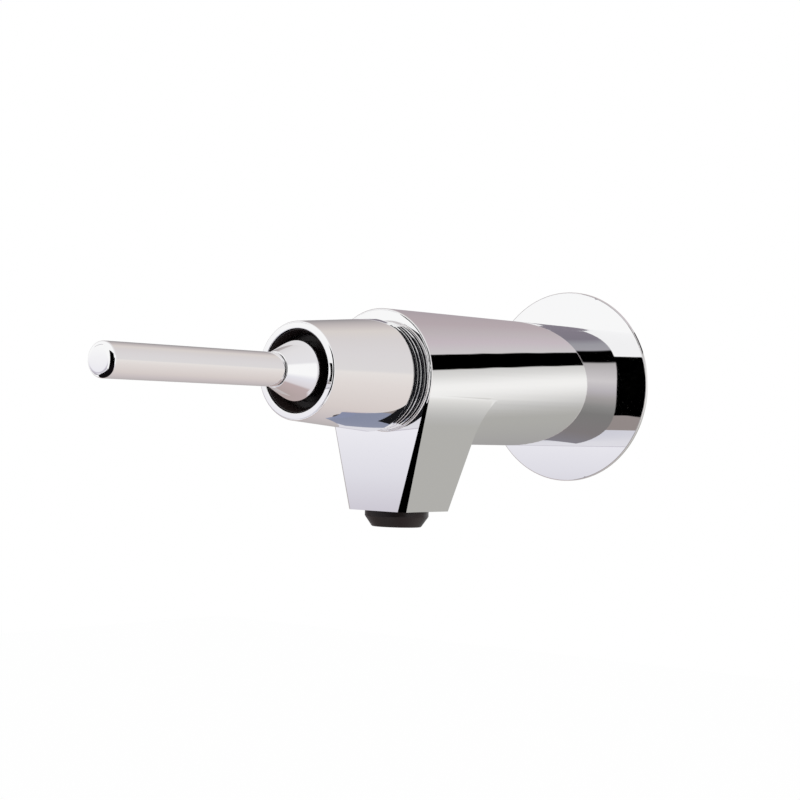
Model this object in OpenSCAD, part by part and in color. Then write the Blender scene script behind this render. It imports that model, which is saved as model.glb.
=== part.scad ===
// Wall-mounted push timed tap, in millimetres.
// Wall plane at Y = 0, barrel along -Y, +Z up. A station is the distance from the wall along the barrel.

/* [Wall end] */
// Diameter of the wall flange
flange_d = 66.2; // [58:0.2:76]
// Thickness of the wall flange
flange_t = 1.2; // [0.8:0.1:2]
// Chamfer round the flange's front edge
flange_chamfer = 0.3; // [0.1:0.1:0.5]
// Hole in the flange and in its gasket
flange_hole_d = 23; // [22.5:0.5:26]
// Thickness of the gasket between flange and wall
gasket_t = 0.8; // [0.5:0.1:1.5]
// How far the gasket's edge stays inside the flange's
gasket_inset = 3; // [1:0.5:6]
// Outside diameter of the inlet thread, G 1/2
thread_d = 20.955; // [20.4:0.005:21.5]
// Length of the inlet thread behind the wall plane
thread_len = 16; // [12:0.5:22]
// Depth of the run-out groove at the end of the inlet thread
thread_relief = 1.1; // [0.6:0.1:1.5]
// Diameter of the nipple's thread in the body
nipple_d = 22; // [21:0.1:24]
// Length of the nipple's thread in the body
nipple_grip = 12; // [10:0.5:15]
// Bore of the nipple
nipple_bore = 11.6; // [10:0.2:12.4]
// Width across the flats of the hex socket in the nipple
hex_af = 12; // [11.8:0.1:12.6]
// Depth of the hex socket in the nipple
hex_depth = 8; // [5:0.5:10]
// Wire diameter of the nipple's sealing ring
nipple_ring_wire = 1.6; // [1.2:0.1:2]
// Diameter of the strainer and flow regulator
strainer_d = 16; // [14.5:0.1:17]
// Thickness of the strainer's rim
strainer_t = 1.6; // [1.2:0.1:2]
// Thickness of the strainer's sieve
sieve_t = 0.7; // [0.5:0.1:1]
// Diameter of a hole in the strainer
sieve_hole = 1.1; // [0.7:0.1:1.2]
// Spacing of the strainer's holes
sieve_pitch = 1.8; // [1.7:0.1:2.4]
// Thickness of the flow regulator
regulator_t = 4.4; // [3.6:0.1:6]
// Number of ports in the flow regulator
regulator_ports = 8; // [5:1:9]
// Diameter of a port in the flow regulator
port_d = 1.8; // [1.2:0.1:2]
// Diameter of the ring groove in the flow regulator
regulator_groove_d = 12.4; // [11.6:0.1:13]
// Wire diameter of the flow regulator's soft ring
regulator_ring_wire = 1.4; // [1.2:0.1:1.6]
// Width of the strainer's rim
strainer_rim = 1.4; // [1:0.1:1.8]

/* [Body] */
// Diameter of the barrel
body_d = 42; // [41:0.5:46]
// Distance from the wall to the body's front face
body_len = 106.5; // [104:0.5:125]
// Rounding of the barrel's front edge
rim_r = 0.6; // [0.4:0.1:1]
// Diameter of the cartridge chamber
chamber_d = 30; // [29.4:0.2:31]
// Diameter of the inlet waterway
inlet_d = 15; // [12:0.5:17]

/* [Spout] */
// Distance from the barrel's axis down to the spout's mouth face
spout_drop = 42; // [40:0.5:52]
// Depth of the mouth face, front to back
spout_depth = 23; // [22.2:0.1:26]
// Slope of the spout's sides
spout_taper = 13.6; // [11:0.1:14.5]
// Chamfer of the spout's front edges at the mouth face, from the barrel's rounding up there
edge_chamfer = 1.85; // [1.2:0.05:2.2]
// How far the spout's sides lie inside the barrel's tangent planes
side_inset = 0.05; // [0.03:0.01:0.2]
// Slope of the spout's back
spout_lean = 12; // [6:0.5:15]
// Distance below the axis at which the back starts to flare
flare_drop = 20; // [17:0.5:24]
// Radius of the flare from the back into the barrel
flare_r = 25; // [22:1:40]
// Diameter of the waterway down the spout
waterway_d = 10; // [7:0.2:11]

/* [Nozzle] */
// Diameter of the nozzle's band
nozzle_d = 20.1; // [19.8:0.1:22]
// Height of the nozzle's band
nozzle_band = 1.8; // [1:0.1:3]
// Diameter at the nozzle's lower end
nozzle_tip_d = 15.5; // [14.8:0.1:17]
// Height of the nozzle's tapered end
nozzle_taper = 3.3; // [2.6:0.1:5]
// Diameter of the nozzle's thread
nozzle_thread_d = 19; // [18.4:0.1:19.4]
// Length of the nozzle's thread
nozzle_thread = 7.5; // [6.5:0.5:10]
// Diameter of the jet former inside the nozzle
former_d = 16; // [14.5:0.1:16.4]
// Thickness of the screen on the jet former
screen_t = 0.6; // [0.4:0.1:1]
// Diameter of a hole in the jet former
former_hole = 1.5; // [1:0.1:1.6]
// Spacing of the jet former's holes
former_pitch = 2.1; // [2:0.1:2.6]
// Diameter of a hole in the screen
screen_hole = 0.9; // [0.6:0.1:1]
// Spacing of the screen's holes
screen_pitch = 1.5; // [1.4:0.1:2]
// Height of the ledge that carries the jet former
former_ledge = 1.6; // [1:0.1:2.4]
// Width of the ledge that carries the jet former
former_ledge_w = 1.4; // [0.8:0.1:2]
// Thickness of the nozzle's gasket
nozzle_gasket_t = 1.2; // [0.8:0.1:2]
// Width of the nozzle's gasket
nozzle_gasket_w = 2.4; // [1.6:0.1:3]

/* [Cartridge] */
// Length of the cartridge's thread in the body
house_thread = 3.7; // [3:0.1:5]
// Length of each sealing land
land_len = 2.6; // [2.4:0.1:3.2]
// Length of the outlet chamber round the cartridge
outlet_len = 12.2; // [11.2:0.2:15]
// Outside diameter of the cartridge at the outlet
outlet_d = 24; // [22:0.5:26]
// Bore of the cartridge at the outlet
outlet_bore = 12; // [11.4:0.2:13]
// Diameter of an outlet window
outlet_window = 4.4; // [3:0.2:5]
// Outside diameter of the inlet skirt
skirt_d = 26; // [25:0.2:27]
// Bore of the inlet skirt
skirt_bore = 21.6; // [21.2:0.1:22.4]
// Diameter of an inlet window
inlet_window = 4.8; // [3:0.2:5]
// Number of windows round the cartridge
windows = 6; // [4:1:7]
// Diameter of the cartridge's neck thread
neck_d = 28; // [27.4:0.2:28.6]
// Length of the neck in front of the body's face
neck_len = 18; // [14:0.5:18.4]
// Wire diameter of the cartridge's sealing rings
house_ring_wire = 1.4; // [1.2:0.1:1.6]
// Diameter of the gland bush
gland_d = 14; // [13.4:0.2:15]
// Length of the gland bush
gland_len = 12; // [9.5:0.5:13]
// How far behind the body's face the gland bush starts
gland_inset = 2.5; // [1:0.5:4]
// Thickness of the retaining clip
clip_t = 1.2; // [0.8:0.1:1.6]
// Depth of the retaining clip's groove
clip_groove = 0.8; // [0.5:0.1:1.2]
// Width of the retaining clip
clip_w = 2.4; // [1.6:0.1:3]
// Gap in the retaining clip
clip_gap = 5; // [3:0.5:7]
// Wire diameter of the stem's sealing rings
stem_ring_wire = 1.6; // [1.2:0.1:2]

/* [Valve] */
// Diameter of the valve stem
stem_d = 5; // [4:0.2:5.6]
// Diameter of the stem's thread in the piston
stem_thread_d = 4; // [3:0.2:4]
// Radius of the stem's rounded end
stem_dome_r = 5; // [4:0.5:8]
// Diameter of the collar that clamps the seat washer
stem_collar_d = 8.8; // [7:0.2:9.6]
// Thickness of the collar that clamps the seat washer
stem_collar_t = 1.4; // [1:0.1:1.8]
// Thickness of the seat ring
seat_t = 2; // [1.6:0.1:2.4]
// Diameter of the seat washer
seat_washer_d = 18; // [16:0.2:19]
// Thickness of the seat washer
seat_washer_t = 2; // [1.5:0.1:2.5]
// Diameter of the piston's plate
plate_d = 19; // [18:0.2:20.4]
// Thickness of the piston's plate
plate_t = 2.5; // [2:0.1:3]
// Length of the piston's skirt behind its plate
piston_len = 19; // [17:0.5:21]
// Diameter of the piston's skirt
piston_d = 17; // [16.4:0.1:17.2]
// Diameter of the spring's pocket in the piston
pocket_d = 12; // [11.8:0.1:12.4]
// Wall between the spring's pocket and the piston's plate
pocket_wall = 3; // [2.5:0.1:4.5]
// Bore of the timing cup
cup_bore = 18; // [17.8:0.1:18.4]
// Wall of the timing cup
cup_wall = 1.4; // [1:0.1:1.5]
// Thickness of the timing cup's end
cup_end = 2; // [1.5:0.1:3]
// Length of the timing cup's collar in the skirt
cup_collar = 4; // [3:0.5:6]
// Length of the cup seal on the piston
seal_len = 3; // [2:0.1:4]
// Depth of the cup seal's groove in the piston
seal_groove = 1.1; // [0.8:0.1:1.4]
// Distance of the cup seal from the piston's end
seal_inset = 1; // [0.8:0.1:2]
// Thickness of the cup seal's lip
seal_lip = 0.6; // [0.4:0.1:1]
// Diameter of the metering pin
metering_d = 2.4; // [1.6:0.1:3]
// Depth of the flat on the metering pin
metering_flat = 0.2; // [0.1:0.05:0.4]
// Wire diameter of the return spring
spring_wire = 1.1; // [0.8:0.1:1.3]
// Mean diameter of the return spring
spring_d = 9.4; // [8.6:0.1:9.8]
// Turns of the return spring
spring_turns = 9; // [7:1:10]
// Gap between the close turns at the spring's ends
spring_close_gap = 0.5; // [0.45:0.05:0.8]

/* [Head] */
// Length of the collar between the body and the head
collar_len = 3.7; // [3:0.1:6]
// Wall of the collar round the cartridge's neck
collar_wall = 3; // [2.4:0.1:3.3]
// Depth of the groove round the collar
collar_groove = 0.5; // [0.2:0.1:0.8]
// Chamfer on the collar's edges
collar_chamfer = 0.3; // [0.1:0.1:0.5]
// Diameter of the head at its rear edge
head_rear_d = 35; // [34.8:0.2:38]
// Diameter of the head at its front edge
head_front_d = 29.6; // [29.2:0.1:32]
// Length of the head
head_len = 34.8; // [34.4:0.2:42]
// Rounding of the head's edges
head_round = 0.6; // [0.3:0.1:0.8]
// Diameter of the head's mouth
mouth_d = 25.2; // [24.6:0.1:25.6]
// Length of the lip round the head's mouth
lip_len = 1.4; // [1.2:0.1:2]
// Diameter of the room inside the head
room_d = 26.4; // [26.2:0.1:26.8]
// Length of the black ring behind the lip
bezel_len = 3.8; // [3:0.1:5]
// How far the black ring reaches into the lip
bezel_nose = 0.8; // [0.4:0.1:1]
// Bore of the black ring
bezel_bore = 22; // [21.6:0.1:22.6]
// Length of the black ring's straight bore
bezel_land = 2.2; // [1.4:0.1:2.8]
// Width of the black ring's front edge
bezel_edge = 0.3; // [0.2:0.05:0.5]
// Thickness of each washer in front of the lever's flange
washer_t = 0.8; // [0.5:0.1:1]
// Outside diameter of those washers
washer_d = 25; // [24.4:0.2:25.4]
// Bore of those washers
washer_bore = 18; // [17.4:0.2:18.6]

/* [Lever] */
// Diameter of the lever's rocking flange
rocker_d = 24; // [22.4:0.1:24.2]
// Thickness of the lever's rocking flange
rocker_t = 2.7; // [2:0.1:3]
// Diameter of the lever's neck
lever_neck_d = 15; // [12:0.2:15.4]
// Diameter of the cone's base
cone_d = 18.6; // [17:0.1:18.8]
// Length of the cone's straight edge
cone_edge = 0.7; // [0.4:0.1:1]
// Distance of the cone's straight edge behind the head's mouth
cone_inset = 0.1; // [0:0.1:0.4]
// Diameter of the cone's small end
cone_tip_d = 10.6; // [9.4:0.1:12]
// Length of the cone
cone_len = 9.8; // [8:0.1:14]
// Diameter of the rod
rod_d = 10.1; // [9:0.1:12]
// Length of the rod
rod_len = 69.2; // [50:0.2:90]
// Rounding of the rod's free end
rod_round = 1.7; // [0.8:0.1:2.5]
// Depth of the undercut at the rod's root
rod_undercut = 0.5; // [0.3:0.1:0.8]
// Length of the undercut at the rod's root
rod_undercut_len = 0.4; // [0.3:0.1:0.8]
// Diameter of the stud that joins the lever's pieces
stud_d = 6; // [4:0.2:6.4]
// Depth of the stud in the rod
stud_rod = 13; // [8:0.5:16]
// Depth of the stud in the lever's neck
stud_neck = 6; // [4:0.5:6.5]

/* [Travel] */
// Distance that the lever pushes in
push_travel = 4; // [2:0.5:4.4]
// Angle that the lever tilts
tilt_travel = 10; // [6:0.5:10.5]

/* [Clearances] */
// Radial gap of a sliding or turning fit
running_gap = 0.05; // [0.02:0.01:0.1]
// Radial gap of a piece dropped into its place
drop_gap = 0.1; // [0.05:0.05:0.2]
// Gap between the stem's end and the lever's flange at rest
stem_gap = 0.3; // [0.3:0.05:0.4]
// Gap left behind the piston at full travel
stroke_gap = 1; // [0.8:0.1:1.5]
// Gap for water round the timing cup's end
inlet_gap = 1.9; // [1.5:0.1:3]
// Gap at a sealing land
land_gap = 0.2; // [0.1:0.05:0.3]

/* [Hidden] */
$fn = 96;
chrome = [0.86, 0.86, 0.87];
black = [0.13, 0.11, 0.11];
brass_tone = [0.80, 0.64, 0.34];
steel_tone = [0.72, 0.72, 0.74];
// How far a cutter runs past the face that it cuts
over = 1;

// Stations of the wall end
st_body = gasket_t + flange_t;
st_nipple = st_body + nipple_grip;
st_step = st_nipple + nipple_ring_wire;
st_pocket = st_nipple - strainer_t - regulator_t;

// Stations of the cartridge, back from the body's front face
st_front = body_len;
st_thread = st_front - house_thread;
st_front_land = st_thread - land_len;
st_shoulder = st_front_land - outlet_len;
st_rear_land = st_shoulder - land_len;
st_seat = st_shoulder - seat_t;
st_plate = st_seat - seat_washer_t;
st_skirt = st_plate - plate_t;
valve_stroke = rocker_d / 2 * tilt_travel * PI / 180;
full_stroke = push_travel + valve_stroke;
st_cup_front = st_skirt - full_stroke - stroke_gap;
st_piston = st_skirt - piston_len;
st_cup_floor = st_piston - full_stroke - stroke_gap;
st_cup = st_cup_floor - cup_end;
st_chamber = st_cup - inlet_gap;
st_spring_top = st_plate - pocket_wall - plate_t;
st_gland = st_front - gland_inset;
st_clip = st_gland + gland_len;
st_neck = st_front + neck_len;

// Stations of the head and the lever
st_head = st_front + collar_len;
st_mouth = st_head + head_len;
st_lip = st_mouth - lip_len;
st_bezel = st_lip - bezel_len;
st_thrust = st_bezel - washer_t;
st_slip = st_thrust - washer_t;
st_rocker = st_slip - rocker_t;
st_stem_tip = st_rocker - stem_gap;
st_cone = st_mouth - cone_inset - cone_edge;
st_flank = st_cone + cone_edge;
st_rod = st_flank + cone_len;
st_tip = st_rod + rod_len;

// Spout: tangent points on the barrel, mouth face and flare
body_r = body_d / 2;
side_r = body_r - side_inset;
tangent_x = side_r * cos(spout_taper);
tangent_z = -side_r * sin(spout_taper);
mouth_x = tangent_x - (spout_drop + tangent_z) * tan(spout_taper);
st_spout = st_front - spout_depth / 2;
st_back = st_front - spout_depth;
st_flare = st_back - (spout_drop - flare_drop) * tan(spout_lean);
flare_s = st_flare - flare_r * cos(spout_lean);
flare_z = -flare_drop - flare_r * sin(spout_lean);
st_flare_top = flare_s + sqrt(pow(flare_r, 2) - pow(tangent_z - flare_z, 2));
side_len = (spout_drop + tangent_z) / cos(spout_taper);
edge_slope = atan((edge_chamfer - rim_r) / (sqrt(2) * side_len));

// Heights of the nozzle's pieces
z_mouth = -spout_drop;
z_thread = z_mouth + nozzle_thread;
z_socket = z_thread + nozzle_gasket_t;
z_band = z_mouth - nozzle_band;
z_tip = z_band - nozzle_taper;
z_ledge = z_tip + former_ledge;
z_former = z_thread - screen_t;
former_h = z_former - z_ledge;

// Lays what is drawn upwards along the barrel, so that a height is a station
module along() {
    rotate([90, 0, 0]) children();
}

// Solid of revolution round the barrel's axis: radius, station
module turned(outline) {
    along() rotate_extrude() polygon(outline);
}

// Plain ring or washer round the barrel's axis
module ring(d_out, d_in, st_from, st_to) {
    along() translate([0, 0, st_from]) difference() {
        cylinder(d = d_out, h = st_to - st_from);
        translate([0, 0, -over]) cylinder(d = d_in, h = st_to - st_from + 2 * over);
    }
}

// Sealing ring round the barrel's axis, between two radii
module sealing_ring(r_in, wire, st_mid) {
    along() translate([0, 0, st_mid]) rotate_extrude() {
        translate([r_in + wire / 2, 0]) circle(d = wire, $fn = 32);
    }
}

// Holes in a hexagonal pattern inside a circle
module sieve_holes(d_field, d_hole, pitch, depth) {
    rows = ceil(d_field / pitch);
    for (row = [-rows:rows], col = [-rows:rows]) {
        x = (col + (row % 2 == 0 ? 0 : 0.5)) * pitch;
        y = row * pitch * sin(60);
        if (norm([x, y]) < (d_field - d_hole) / 2) {
            translate([x, y, -over]) cylinder(d = d_hole, h = depth + 2 * over, $fn = 16);
        }
    }
}

// Radial windows round the cartridge
module radial_windows(d_hole, reach, st_mid) {
    along() translate([0, 0, st_mid]) for (i = [0:windows - 1]) {
        rotate([0, 90, i * 360 / windows + 90]) cylinder(d = d_hole, h = reach, $fn = 48);
    }
}

module flange_gasket() {
    color(black) ring(flange_d - 2 * gasket_inset, flange_hole_d, 0, gasket_t);
}

module wall_flange() {
    r = flange_d / 2;
    hole_r = flange_hole_d / 2;
    color(chrome) turned([
        [hole_r, gasket_t], [r, gasket_t], [r, st_body - flange_chamfer],
        [r - flange_chamfer, st_body], [hole_r, st_body]
    ]);
}

// Threaded tube with a hex socket at its rear and a pocket at its front
module inlet_nipple() {
    color(brass_tone) difference() {
        turned([
            [0, -thread_len], [thread_d / 2 - thread_relief, -thread_len],
            [thread_d / 2, thread_relief - thread_len], [thread_d / 2, 0],
            [thread_d / 2 - thread_relief, 0], [thread_d / 2 - thread_relief, st_body],
            [nipple_d / 2, st_body], [nipple_d / 2, st_nipple], [0, st_nipple]
        ]);
        along() translate([0, 0, -thread_len - over]) {
            cylinder(d = nipple_bore, h = thread_len + st_nipple + 2 * over);
        }
        along() translate([0, 0, -thread_len - over]) {
            cylinder(d = hex_af / cos(30), h = hex_depth + over, $fn = 6);
        }
        along() translate([0, 0, st_pocket]) cylinder(d = strainer_d, h = st_nipple - st_pocket + over);
    }
}

module nipple_o_ring() {
    color(black) sealing_ring(nipple_d / 2 - nipple_ring_wire - drop_gap, nipple_ring_wire,
        st_nipple + nipple_ring_wire / 2);
}

// Sieve in a rim, at the bottom of the nipple's front pocket
module inlet_strainer() {
    color(steel_tone) along() translate([0, 0, st_pocket]) difference() {
        cylinder(d = strainer_d - 2 * drop_gap, h = strainer_t);
        translate([0, 0, sieve_t]) cylinder(d = strainer_d - 2 * strainer_rim, h = strainer_t);
        sieve_holes(strainer_d - 2 * strainer_rim - sieve_hole, sieve_hole, sieve_pitch, sieve_t);
    }
}

// Plastic disc whose ports meter the flow under a soft ring
module flow_regulator() {
    groove_in = regulator_groove_d - 2 * regulator_ring_wire - 2 * drop_gap;
    ports_d = regulator_groove_d - regulator_ring_wire;
    color(black) along() translate([0, 0, st_pocket + strainer_t]) difference() {
        cylinder(d = strainer_d - 2 * drop_gap, h = regulator_t);
        translate([0, 0, regulator_t - regulator_ring_wire]) difference() {
            cylinder(d = regulator_groove_d, h = regulator_t);
            cylinder(d = groove_in, h = regulator_t);
        }
        for (i = [0:regulator_ports - 1]) {
            rotate(i * 360 / regulator_ports) translate([ports_d / 2, 0, -over]) {
                cylinder(d = port_d, h = regulator_t + 2 * over, $fn = 24);
            }
        }
    }
}

module regulator_o_ring() {
    color(black) sealing_ring(regulator_groove_d / 2 - regulator_ring_wire, regulator_ring_wire,
        st_nipple - regulator_ring_wire / 2);
}

// Level barrel with a rounded front edge
module barrel() {
    along() rotate_extrude() {
        translate([0, st_body]) square([body_r, st_front - rim_r - st_body]);
        translate([0, st_body]) square([body_r - rim_r, st_front - st_body]);
        translate([body_r - rim_r, st_front - rim_r]) circle(r = rim_r);
    }
}

// Spout seen from the front: sides run down from their tangent points on the barrel
module spout_front_view() {
    polygon([
        [0, 0], [tangent_x, tangent_z], [mouth_x, -spout_drop],
        [-mouth_x, -spout_drop], [-tangent_x, tangent_z]
    ]);
}

// Spout seen from the side: station, height
module spout_side_view() {
    polygon([
        [st_front, 0], [st_front, -spout_drop], [st_back, -spout_drop],
        [st_flare, -flare_drop], [st_flare, 0]
    ]);
    difference() {
        polygon([
            [st_flare, 0], [st_flare, -flare_drop], [st_flare_top, tangent_z], [st_flare_top, 0]
        ]);
        translate([flare_s, flare_z]) circle(r = flare_r);
    }
}

// Cuts the chamfer along one sloping front edge of the spout, wider towards the mouth face
module spout_edge_cutter() {
    along() rotate(-spout_taper) translate([side_r, 0, st_front]) rotate([0, -45, 0]) {
        translate([-rim_r / sqrt(2), 0, 0]) rotate(-edge_slope) {
            translate([0, -side_len - body_r, -body_r]) cube([body_r, side_len + 2 * body_r, body_d]);
        }
    }
}

module spout() {
    difference() {
        intersection() {
            along() linear_extrude(st_front) spout_front_view();
            rotate([90, 0, -90]) linear_extrude(body_d + over, center = true) spout_side_view();
        }
        spout_edge_cutter();
        mirror([1, 0, 0]) spout_edge_cutter();
    }
}

// Barrel and spout in one casting, bored for the nipple, the cartridge and the nozzle
module body_casting() {
    color(chrome) difference() {
        union() {
            barrel();
            spout();
        }
        along() translate([0, 0, st_body - over]) cylinder(d = nipple_d, h = st_step - st_body + over);
        along() translate([0, 0, st_body]) cylinder(d = inlet_d, h = st_chamber - st_body + over);
        along() translate([0, 0, st_chamber]) cylinder(d = chamber_d, h = st_front - st_chamber + over);
        translate([0, -st_spout, z_mouth]) cylinder(d = waterway_d, h = spout_drop);
        translate([0, -st_spout, z_mouth - over]) cylinder(d = nozzle_thread_d, h = z_socket - z_mouth + over);
    }
}

// Turned sleeve: inlet skirt, two sealing lands, outlet chamber, body thread and neck
module cartridge_housing() {
    land_r = chamber_d / 2 - land_gap;
    groove_r = chamber_d / 2 - house_ring_wire;
    lip = (land_len - house_ring_wire) / 2;
    st_skirt_end = st_cup_front - cup_collar;
    st_clip_end = st_clip + clip_t;
    color(brass_tone) difference() {
        turned([
            [skirt_bore / 2, st_skirt_end], [skirt_d / 2, st_skirt_end],
            [skirt_d / 2, st_rear_land], [land_r, st_rear_land],
            [land_r, st_rear_land + lip], [groove_r, st_rear_land + lip],
            [groove_r, st_shoulder - lip], [land_r, st_shoulder - lip], [land_r, st_shoulder],
            [outlet_d / 2, st_shoulder], [outlet_d / 2, st_front_land], [land_r, st_front_land],
            [land_r, st_front_land + lip], [groove_r, st_front_land + lip],
            [groove_r, st_thread - lip], [land_r, st_thread - lip], [land_r, st_thread],
            [chamber_d / 2, st_thread], [chamber_d / 2, st_front], [neck_d / 2, st_front],
            [neck_d / 2, st_neck], [gland_d / 2, st_neck], [gland_d / 2, st_clip_end],
            [gland_d / 2 + clip_groove, st_clip_end], [gland_d / 2 + clip_groove, st_clip],
            [gland_d / 2, st_clip], [gland_d / 2, st_gland], [outlet_bore / 2, st_gland],
            [outlet_bore / 2, st_shoulder], [skirt_bore / 2, st_shoulder]
        ]);
        radial_windows(outlet_window, outlet_d, (st_shoulder + st_front_land) / 2);
        radial_windows(inlet_window, skirt_d, (st_cup_front + st_rear_land) / 2);
    }
}

module housing_o_rings() {
    r_in = chamber_d / 2 - house_ring_wire;
    color(black) {
        sealing_ring(r_in, house_ring_wire, st_rear_land + land_len / 2);
        sealing_ring(r_in, house_ring_wire, st_front_land + land_len / 2);
    }
}

module seat_ring() {
    color(brass_tone) ring(skirt_bore, outlet_bore, st_seat, st_shoulder);
}

// Closed cup in which the piston's seal runs
module timing_cup() {
    cup_r = cup_bore / 2;
    st_collar = st_cup_front - cup_collar;
    color(black) difference() {
        turned([
            [0, st_cup], [cup_r + cup_wall, st_cup], [cup_r + cup_wall, st_collar],
            [skirt_bore / 2, st_collar], [skirt_bore / 2, st_cup_front], [cup_r, st_cup_front],
            [cup_r, st_cup_floor], [0, st_cup_floor]
        ]);
        along() translate([0, 0, st_cup - over]) cylinder(d = metering_d, h = cup_end + 2 * over);
    }
}

// Pin with a fine flat that lets water creep back into the cup
module metering_pin() {
    color(steel_tone) along() translate([0, 0, st_cup]) difference() {
        cylinder(d = metering_d, h = cup_end);
        translate([metering_d / 2 - metering_flat, -metering_d, -over]) {
            cube([metering_d, 2 * metering_d, cup_end + 2 * over]);
        }
    }
}

// Return spring: a helix with a close turn at each end, swept as one tube
spring_sides = 6;
spring_steps = 8;
spring_end_pitch = spring_wire + spring_close_gap;
spring_low = st_cup_floor + spring_wire / 2;
spring_high = st_spring_top - spring_wire / 2;
spring_pitch = (spring_high - spring_low - 2 * spring_end_pitch) / (spring_turns - 2);
function spring_rise(turn) = turn < 1
    ? turn * spring_end_pitch
    : turn > spring_turns - 1
    ? spring_high - spring_low - (spring_turns - turn) * spring_end_pitch
    : spring_end_pitch + (turn - 1) * spring_pitch;
function spring_point(step, side) = let (
    turn = step / spring_steps,
    reach = spring_d / 2 + spring_wire / 2 * cos(side * 360 / spring_sides),
    height = spring_low + spring_rise(turn) + spring_wire / 2 * sin(side * 360 / spring_sides)
) [reach * cos(turn * 360), reach * sin(turn * 360), height];
spring_rings = spring_turns * spring_steps;
spring_gap = min([
    for (step = [0:spring_rings - spring_steps])
    spring_rise((step + spring_steps) / spring_steps) - spring_rise(step / spring_steps) - spring_wire
]);
echo(return_spring_least_gap = spring_gap);

module return_spring() {
    points = [
        for (step = [0:spring_rings], side = [0:spring_sides - 1]) spring_point(step, side)
    ];
    sides = [
        for (step = [0:spring_rings - 1], side = [0:spring_sides - 1]) let (
            here = step * spring_sides,
            ahead = here + spring_sides,
            next = (side + 1) % spring_sides
        ) [here + side, here + next, ahead + next, ahead + side]
    ];
    first_cap = [for (side = [spring_sides - 1:-1:0]) side];
    last_cap = [for (side = [0:spring_sides - 1]) spring_rings * spring_sides + side];
    color(steel_tone) along() polyhedron(points, concat(sides, [first_cap, last_cap]));
}

// Hollow piston with the valve plate at its front
module piston() {
    skirt_r = piston_d / 2;
    st_seal = st_piston + seal_inset;
    color(brass_tone) turned([
        [pocket_d / 2, st_piston], [skirt_r, st_piston], [skirt_r, st_seal],
        [skirt_r - seal_groove, st_seal], [skirt_r - seal_groove, st_seal + seal_len],
        [skirt_r, st_seal + seal_len], [skirt_r, st_skirt], [plate_d / 2, st_skirt],
        [plate_d / 2, st_plate], [stem_thread_d / 2, st_plate], [stem_thread_d / 2, st_spring_top],
        [pocket_d / 2, st_spring_top]
    ]);
}

// Lipped seal round the piston's rear end
module cup_seal() {
    root_r = piston_d / 2 - seal_groove;
    lip_r = cup_bore / 2 - running_gap;
    st_seal = st_piston + seal_inset;
    color(black) turned([
        [root_r, st_seal], [piston_d / 2, st_seal], [lip_r, st_seal + seal_len - seal_lip],
        [lip_r, st_seal + seal_len], [root_r, st_seal + seal_len]
    ]);
}

module seat_washer() {
    color(black) ring(seat_washer_d, stem_d, st_plate, st_seat);
}

// Stem with a threaded tail, a clamping collar and a rounded front end
module valve_stem() {
    color(steel_tone) along() rotate_extrude() {
        translate([0, st_spring_top]) square([stem_thread_d / 2, st_seat - st_spring_top]);
        translate([0, st_seat]) square([stem_collar_d / 2, stem_collar_t]);
        intersection() {
            translate([0, st_plate]) square([stem_d / 2, st_stem_tip - st_plate]);
            union() {
                translate([0, st_stem_tip - stem_dome_r]) circle(r = stem_dome_r);
                translate([0, st_plate]) square([stem_d, st_stem_tip - stem_dome_r - st_plate]);
            }
        }
    }
}

// Bush that guides the stem, with a groove for each sealing ring
module gland_bush() {
    guide_r = stem_d / 2 + running_gap;
    groove_r = guide_r + stem_ring_wire;
    groove_len = stem_ring_wire + 2 * drop_gap;
    color(black) turned([
        [guide_r, st_gland], [gland_d / 2, st_gland], [gland_d / 2, st_clip], [guide_r, st_clip],
        for (st_mid = [st_gland + gland_len * 3 / 4, st_gland + gland_len / 4]) each [
            [guide_r, st_mid + groove_len / 2], [groove_r, st_mid + groove_len / 2],
            [groove_r, st_mid - groove_len / 2], [guide_r, st_mid - groove_len / 2]
        ]
    ]);
}

module stem_o_rings() {
    color(black) for (share = [1 / 4, 3 / 4]) {
        sealing_ring(stem_d / 2 + running_gap, stem_ring_wire, st_gland + gland_len * share);
    }
}

// Open clip in the neck's groove
module retaining_clip() {
    r_out = gland_d / 2 + clip_groove;
    color(steel_tone) difference() {
        ring(2 * r_out, 2 * (r_out - clip_w), st_clip, st_clip + clip_t);
        along() translate([-clip_gap / 2, -r_out - over, st_clip - over]) {
            cube([clip_gap, r_out, clip_t + 2 * over]);
        }
    }
}

// Grooved collar that locks the cartridge to the body
module lock_ring() {
    r = neck_d / 2 + collar_wall;
    edge = collar_chamfer;
    st_mid = (st_front + st_head) / 2;
    color(chrome) turned([
        [neck_d / 2, st_front], [r - edge, st_front], [r, st_front + edge],
        [r, st_mid - collar_groove], [r - collar_groove, st_mid], [r, st_mid + collar_groove],
        [r, st_head - edge], [r - edge, st_head], [neck_d / 2, st_head]
    ]);
}

// Tapered sleeve with rounded edges, threaded on the neck, with a lip at its mouth
module head_sleeve() {
    rear_r = head_rear_d / 2;
    front_r = head_front_d / 2;
    slope = atan((rear_r - front_r) / head_len);
    rear_round_r = rear_r - head_round * (1 + sin(slope)) / cos(slope);
    front_round_r = front_r - head_round * (1 - sin(slope)) / cos(slope);
    color(chrome) along() rotate_extrude() difference() {
        union() {
            polygon([
                [0, st_head], [rear_round_r, st_head],
                [rear_round_r + head_round * cos(slope), st_head + head_round * (1 + sin(slope))],
                [front_round_r + head_round * cos(slope), st_mouth - head_round * (1 - sin(slope))],
                [front_round_r, st_mouth], [0, st_mouth]
            ]);
            translate([rear_round_r, st_head + head_round]) circle(r = head_round, $fn = 48);
            translate([front_round_r, st_mouth - head_round]) circle(r = head_round, $fn = 48);
        }
        translate([0, st_head - over]) square([neck_d / 2, st_neck - st_head + 2 * over]);
        square([room_d / 2, st_lip]);
        square([mouth_d / 2, st_mouth + over]);
    }
}

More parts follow.
